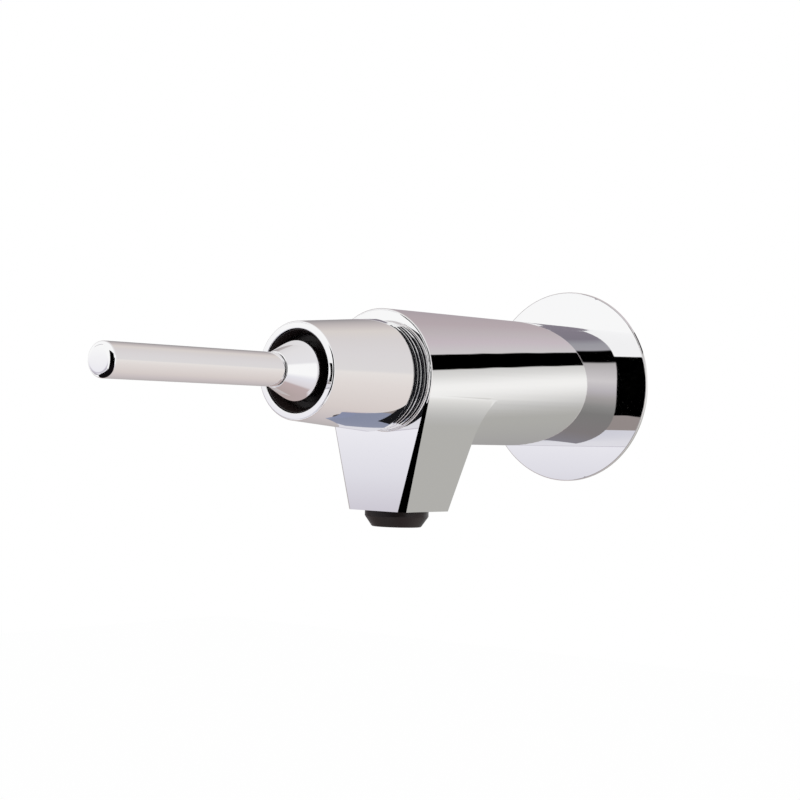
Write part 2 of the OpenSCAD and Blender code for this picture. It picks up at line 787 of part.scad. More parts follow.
// Black funnel ring behind the lip
module bezel_ring() {
    outer_r = room_d / 2 - drop_gap;
    nose_r = mouth_d / 2 - drop_gap;
    st_nose = st_lip + bezel_nose;
    color(black) turned([
        [bezel_bore / 2, st_bezel], [outer_r, st_bezel], [outer_r, st_lip], [nose_r, st_lip],
        [nose_r, st_nose], [nose_r - bezel_edge, st_nose], [bezel_bore / 2, st_bezel + bezel_land]
    ]);
}

module thrust_washer() {
    color(black) ring(washer_d, washer_bore, st_thrust, st_bezel);
}

module slip_washer() {
    color(black) ring(washer_d, washer_bore, st_slip, st_thrust);
}

// Rocking flange and neck at the lever's root
module lever_base() {
    color(brass_tone) difference() {
        turned([
            [0, st_rocker], [rocker_d / 2, st_rocker], [rocker_d / 2, st_slip],
            [lever_neck_d / 2, st_slip], [lever_neck_d / 2, st_cone], [0, st_cone]
        ]);
        along() translate([0, 0, st_cone - stud_neck]) cylinder(d = stud_d, h = stud_neck + over);
    }
}

module lever_cone() {
    color(chrome) turned([
        [stud_d / 2, st_cone], [cone_d / 2, st_cone], [cone_d / 2, st_flank],
        [cone_tip_d / 2, st_rod], [stud_d / 2, st_rod]
    ]);
}

// Plain rod with a rounded free end and an undercut at its root
module lever_rod() {
    r = rod_d / 2;
    color(chrome) along() difference() {
        rotate_extrude() {
            translate([0, st_rod]) square([r - rod_undercut, rod_undercut_len + over]);
            translate([0, st_rod + rod_undercut_len]) square([r, rod_len - rod_undercut_len - rod_round]);
            translate([0, st_tip - rod_round - over]) square([r - rod_round, rod_round + over]);
            translate([r - rod_round, st_tip - rod_round]) circle(r = rod_round, $fn = 48);
        }
        translate([0, 0, st_rod - over]) cylinder(d = stud_d, h = stud_rod + over);
    }
}

module rod_stud() {
    color(steel_tone) along() translate([0, 0, st_cone - stud_neck]) {
        cylinder(d = stud_d, h = st_rod + stud_rod - st_cone + stud_neck);
    }
}

// Ring about the nozzle's upright axis: radius, height
module nozzle_turned(outline) {
    translate([0, -st_spout, 0]) rotate_extrude() polygon(outline);
}

module aerator_gasket() {
    r = nozzle_thread_d / 2 - drop_gap;
    color(black) nozzle_turned([
        [r - nozzle_gasket_w, z_thread], [r, z_thread], [r, z_socket], [r - nozzle_gasket_w, z_socket]
    ]);
}

// Threaded nozzle with a band, a tapered end and a ledge for the jet former
module aerator_housing() {
    former_r = former_d / 2;
    color(black) nozzle_turned([
        [former_r, z_thread], [nozzle_thread_d / 2, z_thread], [nozzle_thread_d / 2, z_mouth],
        [nozzle_d / 2, z_mouth], [nozzle_d / 2, z_band], [nozzle_tip_d / 2, z_tip],
        [former_r - former_ledge_w, z_tip], [former_r - former_ledge_w, z_ledge], [former_r, z_ledge]
    ]);
}

// Jet former pierced by a pattern of upright holes
module aerator_insert() {
    color(black) translate([0, -st_spout, z_ledge]) difference() {
        cylinder(d = former_d - 2 * drop_gap, h = former_h);
        sieve_holes(former_d - 2 * former_ledge_w, former_hole, former_pitch, former_h);
    }
}

module aerator_screen() {
    color(steel_tone) translate([0, -st_spout, z_former]) difference() {
        cylinder(d = former_d - 2 * drop_gap, h = screen_t);
        sieve_holes(former_d - 2 * former_ledge_w, screen_hole, screen_pitch, screen_t);
    }
}

flange_gasket();
wall_flange();
inlet_nipple();
nipple_o_ring();
inlet_strainer();
flow_regulator();
regulator_o_ring();
body_casting();
cartridge_housing();
housing_o_rings();
seat_ring();
timing_cup();
metering_pin();
return_spring();
piston();
cup_seal();
seat_washer();
valve_stem();
gland_bush();
stem_o_rings();
retaining_clip();
lock_ring();
head_sleeve();
bezel_ring();
thrust_washer();
slip_washer();
lever_base();
lever_cone();
lever_rod();
rod_stud();
aerator_gasket();
aerator_housing();
aerator_insert();
aerator_screen();
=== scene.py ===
import math

import bpy
from mathutils import Matrix


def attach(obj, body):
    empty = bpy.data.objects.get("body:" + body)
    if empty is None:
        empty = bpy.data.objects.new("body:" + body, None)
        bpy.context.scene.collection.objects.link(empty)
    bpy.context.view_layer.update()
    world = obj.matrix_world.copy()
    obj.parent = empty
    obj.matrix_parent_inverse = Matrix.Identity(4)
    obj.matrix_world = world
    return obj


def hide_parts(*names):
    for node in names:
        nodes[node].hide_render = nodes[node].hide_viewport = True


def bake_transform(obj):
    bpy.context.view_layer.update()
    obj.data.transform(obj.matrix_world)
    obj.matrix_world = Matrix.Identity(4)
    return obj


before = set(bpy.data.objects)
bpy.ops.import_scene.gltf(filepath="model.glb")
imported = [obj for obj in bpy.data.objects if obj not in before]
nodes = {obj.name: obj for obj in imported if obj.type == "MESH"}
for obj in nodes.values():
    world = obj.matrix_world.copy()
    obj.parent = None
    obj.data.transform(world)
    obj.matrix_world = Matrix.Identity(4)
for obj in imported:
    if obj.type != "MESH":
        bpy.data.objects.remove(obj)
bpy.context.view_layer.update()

# Wall flange: a thin round plate of brass under polished chrome, which hides the hole in the wall.
# It is turned on a lathe with a soft front edge, and the body's shoulder clamps it to the wall.
MERGE = 1e-7


def soften(outline, corners, steps=6):
    """The outline with an arc of the given radius in place of each listed corner, in millimetres."""
    rounded = []
    count = len(outline)
    for index, (radius, station) in enumerate(outline):
        size = corners.get(index)
        if not size:
            rounded.append((radius, station))
            continue
        before = outline[(index - 1) % count]
        after = outline[(index + 1) % count]
        back = math.atan2(before[1] - station, before[0] - radius)
        ahead = math.atan2(after[1] - station, after[0] - radius)
        opening = abs((ahead - back + math.pi) % (2 * math.pi) - math.pi)
        reach = size / math.tan(opening / 2)
        start = (radius + reach * math.cos(back), station + reach * math.sin(back))
        end = (radius + reach * math.cos(ahead), station + reach * math.sin(ahead))
        bisector = (math.cos(back) + math.cos(ahead), math.sin(back) + math.sin(ahead))
        length = math.hypot(*bisector)
        far = size / math.sin(opening / 2)
        middle = (radius + bisector[0] / length * far, station + bisector[1] / length * far)
        first = math.atan2(start[1] - middle[1], start[0] - middle[0])
        last = math.atan2(end[1] - middle[1], end[0] - middle[0])
        sweep = (last - first + math.pi) % (2 * math.pi) - math.pi
        for step in range(steps + 1):
            angle = first + sweep * step / steps
            rounded.append((middle[0] + size * math.cos(angle), middle[1] + size * math.sin(angle)))
    return rounded


def turn_on_lathe(name, outline, ring=True, sides=160, axis="barrel"):
    """A turned piece: a circle drawn out and resized from point to point of (radius, station)."""
    path = [(radius / 1000, station / 1000) for radius, station in outline]
    if ring:
        path.append(path[0])
    bpy.ops.object.select_all(action="DESELECT")
    bpy.ops.mesh.primitive_circle_add(
        vertices=sides,
        radius=path[0][0],
        location=(0, -path[0][1], 0),
        rotation=(math.pi / 2, 0, 0),
    )
    piece = bpy.context.object
    piece.name = name
    piece.data.name = name
    bpy.ops.object.transform_apply(location=True, rotation=True, scale=True)
    bpy.ops.object.mode_set(mode="EDIT")
    bpy.ops.mesh.select_all(action="SELECT")
    for (near, here), (wide, there) in zip(path, path[1:]):
        bpy.ops.mesh.extrude_region_move(TRANSFORM_OT_translate={"value": (0, here - there, 0)})
        bpy.ops.transform.resize(value=(wide / near, 1, wide / near), center_override=(0, -there, 0))
    bpy.ops.mesh.select_all(action="SELECT")
    bpy.ops.mesh.remove_doubles(threshold=MERGE)
    bpy.ops.mesh.fill_holes(sides=0)
    bpy.ops.mesh.select_all(action="SELECT")
    bpy.ops.mesh.normals_make_consistent(inside=False)
    bpy.ops.object.mode_set(mode="OBJECT")
    if axis == "nozzle":
        piece.rotation_euler = (math.pi / 2, 0, 0)
        bpy.ops.object.transform_apply(location=True, rotation=True, scale=True)
    return piece


def polish(piece, material, angle=40):
    """Smooth shading that keeps wide faces flat, and the piece's finish."""
    bpy.ops.object.select_all(action="DESELECT")
    bpy.context.view_layer.objects.active = piece
    piece.select_set(True)
    bpy.ops.object.shade_smooth_by_angle(angle=math.radians(angle))
    piece.modifiers.new("flat_faces", "WEIGHTED_NORMAL")
    piece.modifiers["flat_faces"].keep_sharp = True
    piece.modifiers["flat_faces"].weight = 100
    bpy.ops.object.modifier_apply(modifier="flat_faces")
    piece.data.materials.append(material)


def finish_of(name, colour, metal, low, high, grain, relief):
    """A finish whose gloss and surface vary finely, on the piece's own coordinates."""
    material = bpy.data.materials.new(name)
    material.use_nodes = True
    tree = material.node_tree
    shader = tree.nodes["Principled BSDF"]
    shader.inputs["Base Color"].default_value = colour
    shader.inputs["Metallic"].default_value = metal
    place = tree.nodes.new("ShaderNodeTexCoord")
    noise = tree.nodes.new("ShaderNodeTexNoise")
    noise.inputs["Scale"].default_value = grain
    noise.inputs["Detail"].default_value = 4.0
    gloss = tree.nodes.new("ShaderNodeMapRange")
    gloss.inputs["To Min"].default_value = low
    gloss.inputs["To Max"].default_value = high
    bump = tree.nodes.new("ShaderNodeBump")
    bump.inputs["Strength"].default_value = relief
    bump.inputs["Distance"].default_value = 0.0001
    tree.links.new(place.outputs["Object"], noise.inputs["Vector"])
    tree.links.new(noise.outputs["Fac"], gloss.inputs["Value"])
    tree.links.new(gloss.outputs["Result"], shader.inputs["Roughness"])
    tree.links.new(noise.outputs["Fac"], bump.inputs["Height"])
    tree.links.new(bump.outputs["Normal"], shader.inputs["Normal"])
    return material


chrome = finish_of("chrome_plate", (0.93, 0.93, 0.935, 1), 1.0, 0.015, 0.04, 120.0, 0.004)
flange = turn_on_lathe(
    "flange_plate",
    soften([(11.5, 0.8), (33.1, 0.8), (33.1, 2.0), (11.5, 2.0)], {1: 0.12, 2: 0.35}),
    sides=224,
)
polish(flange, chrome)
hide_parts("wall_flange")
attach(flange, "tap")

# Soft pieces of the wall end and the cartridge: gaskets, sealing rings, seat washer and cup seal.
# They are moulded of black rubber and lie in their grooves, hidden once the tap is put together.
rubber = finish_of("black_rubber", (0.018, 0.018, 0.019, 1), 0.0, 0.55, 0.75, 900.0, 0.12)
for name in (
    "flange_gasket",
    "nipple_o_ring",
    "regulator_o_ring",
    "housing_o_rings",
    "stem_o_rings",
    "cup_seal",
    "seat_washer",
    "aerator_gasket",
):
    nodes[name].material_slots[0].material = rubber

# Inlet nipple: the brass tube that joins the tap to the pipe in the wall.
# It is turned, threaded outside for half-inch pipe, and has a hex socket by which it is screwed in.
HEX_FLATS = 0.012
HEX_DEPTH = 0.010
brass = finish_of("turned_brass", (0.69, 0.47, 0.20, 1), 1.0, 0.22, 0.36, 700.0, 0.05)
nipple = turn_on_lathe(
    "threaded_nipple",
    soften(
        [
            (5.8, -16.0),
            (9.2, -16.0),
            (9.6, -15.6),
            (9.6, 0.0),
            (9.38, 0.0),
            (9.38, 2.0),
            (11.0, 2.0),
            (11.0, 14.0),
            (8.0, 14.0),
            (8.0, 8.0),
            (5.8, 8.0),
        ],
        {6: 0.2, 7: 0.3},
    ),
    sides=96,
)
bpy.ops.object.select_all(action="DESELECT")
bpy.ops.mesh.primitive_cylinder_add(
    vertices=6,
    radius=HEX_FLATS / 2 / math.cos(math.pi / 6),
    depth=HEX_DEPTH,
    location=(0, 0.013, 0),
    rotation=(math.pi / 2, 0, 0),
)
hex_key = bpy.context.object
bpy.ops.object.transform_apply(location=True, rotation=True, scale=True)
bpy.ops.object.select_all(action="DESELECT")
bpy.context.view_layer.objects.active = nipple
nipple.select_set(True)
nipple.modifiers.new("hex_socket", "BOOLEAN")
nipple.modifiers["hex_socket"].operation = "DIFFERENCE"
nipple.modifiers["hex_socket"].object = hex_key
bpy.ops.object.modifier_apply(modifier="hex_socket")
bpy.data.objects.remove(hex_key, do_unlink=True)

# Inlet thread: the half-inch pipe thread cut on the nipple, one ridge wound round it.
# A tooth's outline is drawn at the mouth and screwed forward, pitch by pitch, and its ends closed.
THREAD_PITCH = 0.001814
THREAD_TURNS = 7
TURN_STEPS = 72
TOOTH_PLACE = (0.00992, 0.0136, 0)
TOOTH_CREST = 0.01047
bpy.ops.object.select_all(action="DESELECT")
bpy.ops.mesh.primitive_plane_add(size=0.001, location=TOOTH_PLACE)
ridge = bpy.context.object
ridge.name = "inlet_thread"
ridge.data.name = "inlet_thread"
bpy.ops.object.transform_apply(location=True, rotation=True, scale=True)
bpy.ops.object.mode_set(mode="EDIT")
bpy.ops.mesh.select_mode(type="VERT")
bpy.ops.mesh.select_all(action="SELECT")
bpy.ops.transform.resize(value=(1.1, 1.5, 1), center_override=TOOTH_PLACE)
bpy.ops.mesh.select_all(action="DESELECT")
bpy.ops.object.mode_set(mode="OBJECT")
for corner in ridge.data.vertices:
    corner.select = corner.co.x > TOOTH_PLACE[0]
bpy.ops.object.mode_set(mode="EDIT")
bpy.ops.transform.resize(value=(1, 0.25, 1), center_override=(TOOTH_CREST, TOOTH_PLACE[1], 0))
bpy.ops.mesh.select_all(action="SELECT")
bpy.ops.mesh.delete(type="ONLY_FACE")
bpy.ops.object.mode_set(mode="OBJECT")
ridge.modifiers.new("winding", "SCREW")
ridge.modifiers["winding"].axis = "Y"
ridge.modifiers["winding"].angle = 2 * math.pi
ridge.modifiers["winding"].screw_offset = -THREAD_PITCH
ridge.modifiers["winding"].iterations = THREAD_TURNS
ridge.modifiers["winding"].steps = TURN_STEPS
ridge.modifiers["winding"].render_steps = TURN_STEPS
bpy.ops.object.modifier_apply(modifier="winding")
bpy.ops.object.mode_set(mode="EDIT")
bpy.ops.mesh.select_all(action="SELECT")
bpy.ops.mesh.remove_doubles(threshold=MERGE)
bpy.ops.mesh.fill_holes(sides=0)
bpy.ops.mesh.select_all(action="SELECT")
bpy.ops.mesh.normals_make_consistent(inside=False)
bpy.ops.object.mode_set(mode="OBJECT")
polish(ridge, brass, 30)
polish(nipple, brass, 30)
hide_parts("inlet_nipple")
for piece in (nipple, ridge):
    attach(piece, "tap")

# Steel pieces: strainer, metering pin, stem, clip, stud and the nozzle's screen.
# They are of stainless steel, drawn, turned or punched, and lie inside the tap.
steel = finish_of("stainless_steel", (0.56, 0.56, 0.57, 1), 1.0, 0.18, 0.32, 1100.0, 0.04)
for name in (
    "inlet_strainer",
    "metering_pin",
    "valve_stem",
    "retaining_clip",
    "rod_stud",
    "aerator_screen",
):
    nodes[name].material_slots[0].material = steel

# Return spring: the coil that drives the piston shut, wound of stainless steel wire.
# It stands between the timing cup and the piston, and is cut at its middle into a wall half and a front
# half.
SPRING_WALL = -0.0556
SPRING_MIDDLE = -0.067
SPRING_FRONT = -0.0783


def merged_copy(name, node):
    """A copy of a CAD piece with its corners joined, left in edit mode with all of it selected."""
    bpy.ops.object.select_all(action="DESELECT")
    piece = bpy.data.objects.new(name, nodes[node].data.copy())
    bpy.context.collection.objects.link(piece)
    piece.data.name = name
    piece.data.materials.clear()
    bpy.context.view_layer.objects.active = piece
    piece.select_set(True)
    bpy.ops.object.mode_set(mode="EDIT")
    bpy.ops.mesh.select_all(action="SELECT")
    bpy.ops.mesh.remove_doubles(threshold=MERGE)
    bpy.ops.mesh.customdata_custom_splitnormals_clear()
    return piece


for name, bodies, start, end in (
    ("spring_wall_half", ("tap", "push_carrier"), SPRING_WALL, SPRING_MIDDLE),
    ("spring_front_half", ("push_carrier", "valve"), SPRING_MIDDLE, SPRING_FRONT),
):
    spring = merged_copy(name, "return_spring")
    bpy.ops.mesh.bisect(
        plane_co=(0, SPRING_MIDDLE, 0),
        plane_no=(0, 1, 0),
        use_fill=True,
        clear_inner=start > SPRING_MIDDLE,
        clear_outer=end < SPRING_MIDDLE,
    )
    bpy.ops.mesh.select_all(action="SELECT")
    bpy.ops.mesh.normals_make_consistent(inside=False)
    bpy.ops.object.mode_set(mode="OBJECT")
    polish(spring, steel, 50)
    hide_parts("return_spring")
    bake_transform(spring)

# Moulded pieces inside: flow regulator, timing cup, gland bush, thrust washer, rocking base and jet former.
# They are of hard black plastic with the fine grain of the mould.
plastic = finish_of("black_plastic", (0.012, 0.008, 0.008, 1), 0.0, 0.28, 0.42, 1500.0, 0.03)
plastic.node_tree.nodes["Principled BSDF"].inputs["Specular IOR Level"].default_value = 0.25
for name in (
    "flow_regulator",
    "timing_cup",
    "gland_bush",
    "thrust_washer",
    "lever_base",
    "aerator_insert",
):
    nodes[name].material_slots[0].material = plastic

# Slip washer: the flat ring of hard plastic that lies between the rocking base and the thrust washer.
# It turns with the lever, and a hair's breadth is left between the washers for that.
slip_ring = turn_on_lathe(
    "slip_ring",
    [(9.0, 138.2), (12.5, 138.2), (12.5, 138.97), (9.0, 138.97)],
)
polish(slip_ring, plastic)
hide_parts("slip_washer")
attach(slip_ring, "turn_carrier")

# Brass pieces inside: cartridge housing, valve seat and piston.
# They are turned, bare, and never seen on the finished tap.
for name in ("cartridge_housing", "seat_ring", "piston"):
    nodes[name].material_slots[0].material = brass

# Body: a level barrel with the spout block cast on it in one piece of brass, then polished and chromed.
# It screws on the nipple at the wall, and the cartridge screws into its front face.
# The polishing brings the spout's flat sides flush with the barrel they run out of.
SIDE_LEAN = math.radians(13.6)
SIDE_REACH = 0.021
SIDE_LEAST = 0.020949
SIDE_MOST = 0.020985
SIDE_CUT = -0.07
SIDE_REAR = -0.0705
SIDE_FRONT = -0.10595
body = merged_copy("tap_body", "body_casting")
bpy.ops.mesh.bisect(plane_co=(0, SIDE_CUT, 0), plane_no=(0, 1, 0))
bpy.ops.mesh.select_all(action="SELECT")
bpy.ops.mesh.normals_make_consistent(inside=False)
bpy.ops.object.mode_set(mode="OBJECT")
for corner in body.data.vertices:
    reach = abs(corner.co.x) * math.cos(SIDE_LEAN) - corner.co.z * math.sin(SIDE_LEAN)
    if SIDE_LEAST < reach < SIDE_MOST and SIDE_FRONT < corner.co.y < SIDE_REAR:
        lift = SIDE_REACH - reach
        corner.co.x += math.copysign(lift * math.cos(SIDE_LEAN), corner.co.x)
        corner.co.z -= lift * math.sin(SIDE_LEAN)
polish(body, chrome, 25)
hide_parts("body_casting")
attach(body, "tap")

# Lock ring: the narrow grooved collar between body and head, of chromed brass.
# It is turned with a groove between two beads, and locks the cartridge to the body.
collar = turn_on_lathe(
    "lock_collar",
    soften(
        [
            (14.0, 106.5),
            (17.0, 106.5),
            (17.0, 108.0),
            (16.5, 108.35),
            (17.0, 108.7),
            (17.0, 110.2),
            (14.0, 110.2),
        ],
        {1: 0.3, 2: 0.2, 4: 0.2, 5: 0.3},
    ),
)
polish(collar, chrome)
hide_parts("lock_ring")
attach(collar, "tap")

# Head sleeve: the tapered sleeve round the lever's root, of chromed brass.
# It is turned with soft edges, screws on the cartridge's neck, and its lip keeps the black ring in.
sleeve = turn_on_lathe(
    "head_cover",
    soften(
        [
            (14.0, 110.2),
            (17.5, 110.2),
            (14.8, 145.0),
            (12.6, 145.0),
            (12.6, 143.6),
            (13.2, 143.6),
            (13.2, 125.5),
            (14.0, 125.5),
        ],
        {1: 0.6, 2: 0.6, 3: 0.25},
        8,
    ),
    sides=192,
)
polish(sleeve, chrome)
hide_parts("head_sleeve")
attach(sleeve, "tap")

# Bezel ring: the black funnel in the sleeve's mouth, moulded of plastic.
# It is pushed in from behind against the lip, and gives the lever room to tilt.
funnel = turn_on_lathe(
    "mouth_funnel",
    soften(
        [
            (11.0, 139.8),
            (13.1, 139.8),
            (13.1, 143.6),
            (12.5, 143.6),
            (12.5, 144.4),
            (12.2, 144.4),
            (11.0, 142.0),
        ],
        {4: 0.1, 5: 0.1, 6: 0.4},
        4,
    ),
)
polish(funnel, plastic)
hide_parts("bezel_ring")
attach(funnel, "tap")

# Lever cone: the short cone at the root of the rod, of chromed brass.
# It is turned, and the stud clamps it between the rocking base and the rod.
cone = turn_on_lathe(
    "root_cone",
    soften(
        [(3.0, 144.2), (9.3, 144.2), (9.3, 144.9), (5.3, 154.7), (3.0, 154.7)],
        {1: 0.15, 2: 0.3, 3: 0.25},
        5,
    ),
)
polish(cone, chrome)
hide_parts("lever_cone")
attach(cone, "lever")

# Lever rod: the plain round bar that is pushed or tilted, of chromed brass.
# It is turned with a rounded end and an undercut at its root, and screws on the stud.
rod = turn_on_lathe(
    "push_rod",
    soften(
        [
            (3.0, 167.7),
            (3.0, 154.7),
            (4.55, 154.7),
            (4.55, 155.1),
            (5.05, 155.1),
            (5.05, 223.9),
            (0.6, 223.9),
        ],
        {4: 0.12, 5: 1.7},
        10,
    ),
    ring=False,
)
polish(rod, chrome)
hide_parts("lever_rod")
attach(rod, "lever")

# Nozzle: the black aerator housing that screws up into the spout's mouth face.
# It is moulded of plastic with a band to grip, a tapered end, and a ledge for the jet former.
NOZZLE_LINE = -0.095
nozzle = turn_on_lathe(
    "nozzle_shell",
    soften(
        [
            (8.0, 34.5),
            (9.5, 34.5),
            (9.5, 42.0),
            (10.05, 42.0),
            (10.05, 43.8),
            (7.75, 47.1),
            (6.6, 47.1),
            (6.6, 45.5),
            (8.0, 45.5),
        ],
        {3: 0.2, 4: 0.5, 5: 0.4, 6: 0.3},
    ),
    axis="nozzle",
)
for corner in nozzle.data.vertices:
    corner.co.y += NOZZLE_LINE
polish(nozzle, plastic)
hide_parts("aerator_housing")
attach(nozzle, "tap")

# Floor: a plain pale table well below the tap, with nothing on it.
# It is white to the camera, as the backdrop is, and keeps the tap's faint shadow.
FLOOR_HEIGHT = -0.5
FLOOR_GLOW = 0.985
bpy.ops.object.select_all(action="DESELECT")
bpy.ops.mesh.primitive_plane_add(size=6.0, location=(0, 0, FLOOR_HEIGHT))
floor = bpy.context.object
floor.name = "floor"
table_top = bpy.data.materials.new("pale_table")
table_top.use_nodes = True
tree = table_top.node_tree
shader = tree.nodes["Principled BSDF"]
shader.inputs["Base Color"].default_value = (0.9, 0.9, 0.9, 1)
shader.inputs["Roughness"].default_value = 0.9
glow = tree.nodes.new("ShaderNodeEmission")
glow.inputs["Color"].default_value = (1, 1, 1, 1)
seen = tree.nodes.new("ShaderNodeLightPath")
direct = tree.nodes.new("ShaderNodeMath")
direct.operation = "MAXIMUM"
share = tree.nodes.new("ShaderNodeMath")
share.operation = "MULTIPLY"
share.inputs[1].default_value = FLOOR_GLOW
blend = tree.nodes.new("ShaderNodeMixShader")
tree.links.new(seen.outputs["Is Camera Ray"], direct.inputs[0])
tree.links.new(seen.outputs["Is Glossy Ray"], direct.inputs[1])
tree.links.new(direct.outputs["Value"], share.inputs[0])
tree.links.new(share.outputs["Value"], blend.inputs["Fac"])
tree.links.new(shader.outputs["BSDF"], blend.inputs[1])
tree.links.new(glow.outputs["Emission"], blend.inputs[2])
tree.links.new(blend.outputs["Shader"], tree.nodes["Material Output"].inputs["Surface"])
floor.data.materials.append(table_top)

# Reflector rings: three glowing paper tents in line round the barrel's line, which the chrome alone
# mirrors.
# The front two serve cone, head and lever, the rear one the barrel. Each has soft bands round its inside,
# a painted reflection that gives the chrome its tones, with a black band for the dark stripe along the
# barrel.
TENT_RADIUS = 0.183
TENT_FRONT = -0.16
CONE_TO_FRONT = -0.065
FRONT_TO_BARREL = 0.083
TENT_REAR = 0.27
TWIST_FROM = 0.12
BARREL_TWIST = 3.85


def reflection_paper(name):
    """A paper that gives its own light, for painted reflections: the material, its node tree and the glow
    in it.
    """
    paper = bpy.data.materials.new(name)
    paper.use_nodes = True
    tree = paper.node_tree
    tree.nodes.remove(tree.nodes["Principled BSDF"])
    glow = tree.nodes.new("ShaderNodeEmission")
    return paper, tree, glow


def place_parts(tree):
    """The piece's own coordinates, one by one."""
    place = tree.nodes.new("ShaderNodeTexCoord")
    parts = tree.nodes.new("ShaderNodeSeparateXYZ")
    tree.links.new(place.outputs["Object"], parts.inputs["Vector"])
    return parts


def bearing_of(tree, parts):
    """The angle round the barrel's line, from +X towards +Z, in radians."""
    angle = tree.nodes.new("ShaderNodeMath")
    angle.operation = "ARCTAN2"
    tree.links.new(parts.outputs["Z"], angle.inputs[0])
    tree.links.new(parts.outputs["X"], angle.inputs[1])
    return angle.outputs["Value"]


def paint_bands(tree, glow, measure, low, high, bands):
    """Soft bands of tone, each given where the measure has a value between low and high."""
    spread = tree.nodes.new("ShaderNodeMapRange")
    spread.inputs["From Min"].default_value = low
    spread.inputs["From Max"].default_value = high
    tone = tree.nodes.new("ShaderNodeValToRGB")
    tone.color_ramp.elements.remove(tone.color_ramp.elements[1])
    for index, (value, colour) in enumerate(bands):
        spot = (value - low) / (high - low)
        stop = tone.color_ramp.elements[0] if index == 0 else tone.color_ramp.elements.new(spot)
        stop.position = spot
        stop.color = (*colour, 1)
    tree.links.new(measure, spread.inputs["Value"])
    tree.links.new(spread.outputs["Result"], tone.inputs["Fac"])
    tree.links.new(tone.outputs["Color"], glow.inputs["Color"])


def paint_round(tree, glow, angle, bands):
    """Soft bands that follow an angle, given in degrees."""
    turned = [(math.radians(degrees), colour) for degrees, colour in bands]
    paint_bands(tree, glow, angle, -math.pi, math.pi, turned)


def hang_up(card, paper, tree, glow, shown="both"):
    """The card gets its paper, which may be clear from one side, and shows in the chrome alone."""
    surface = glow.outputs["Emission"]
    if shown != "both":
        clear = tree.nodes.new("ShaderNodeBsdfTransparent")
        side = tree.nodes.new("ShaderNodeNewGeometry")
        choice = tree.nodes.new("ShaderNodeMixShader")
        lit, bare = (1, 2) if shown == "front" else (2, 1)
        tree.links.new(side.outputs["Backfacing"], choice.inputs["Fac"])
        tree.links.new(surface, choice.inputs[lit])
        tree.links.new(clear.outputs["BSDF"], choice.inputs[bare])
        surface = choice.outputs["Shader"]
    tree.links.new(surface, tree.nodes["Material Output"].inputs["Surface"])
    card.data.materials.append(paper)
    card.visible_camera = False
    card.visible_diffuse = False
    card.visible_transmission = False
    card.visible_shadow = False
    card.visible_volume_scatter = False


def reflection_ring(name, near, far, bands, twist=0.0):
    """An open glowing ring whose painted-reflection tone follows the angle, and whose bands may wind along
    it.
    """
    bpy.ops.object.select_all(action="DESELECT")
    bpy.ops.mesh.primitive_cylinder_add(
        vertices=128,
        radius=TENT_RADIUS,
        depth=far - near,
        end_fill_type="NOTHING",
        location=(0, (near + far) / 2, 0),
        rotation=(math.pi / 2, 0, 0),
    )
    ring = bpy.context.object
    ring.name = name
    bpy.ops.object.transform_apply(location=True, rotation=True, scale=True)
    paper, tree, glow = reflection_paper(name)
    parts = place_parts(tree)
    lead = tree.nodes.new("ShaderNodeMath")
    lead.operation = "MULTIPLY_ADD"
    lead.inputs[1].default_value = -twist
    lead.inputs[2].default_value = twist * TWIST_FROM
    turned = tree.nodes.new("ShaderNodeMath")
    turned.operation = "ADD"
    tree.links.new(parts.outputs["Y"], lead.inputs[0])
    tree.links.new(bearing_of(tree, parts), turned.inputs[0])
    tree.links.new(lead.outputs["Value"], turned.inputs[1])
    paint_round(tree, glow, turned.outputs["Value"], bands)
    hang_up(ring, paper, tree, glow)


reflection_ring(
    "front_reflection_tent",
    CONE_TO_FRONT,
    FRONT_TO_BARREL,
    [
        (-180, (0.42, 0.40, 0.40)),
        (-110, (0.61, 0.55, 0.553)),
        (-75, (0.708, 0.642, 0.62)),
        (-45, (0.754, 0.694, 0.671)),
        (-20, (0.794, 0.738, 0.715)),
        (2, (0.833, 0.794, 0.77)),
        (7, (0.754, 0.73, 0.73)),
        (40, (0.738, 0.708, 0.715)),
        (70, (0.715, 0.678, 0.678)),
        (95, (0.72, 0.67, 0.64)),
        (112, (0.60, 0.547, 0.54)),
        (150, (0.34, 0.32, 0.33)),
        (180, (0.30, 0.28, 0.29)),
    ],
)
reflection_ring(
    "cone_reflection_tent",
    TENT_FRONT,
    CONE_TO_FRONT,
    [
        (-180, (0.40, 0.36, 0.36)),
        (-125, (0.46, 0.38, 0.37)),
        (-66, (0.53, 0.43, 0.43)),
        (-58, (0.74, 0.70, 0.73)),
        (-30, (0.82, 0.81, 0.86)),
        (-15, (1.0, 1.0, 1.0)),
        (22, (1.0, 1.0, 1.0)),
        (30, (0.82, 0.81, 0.83)),
        (90, (0.80, 0.78, 0.79)),
        (180, (0.60, 0.57, 0.58)),
    ],
)
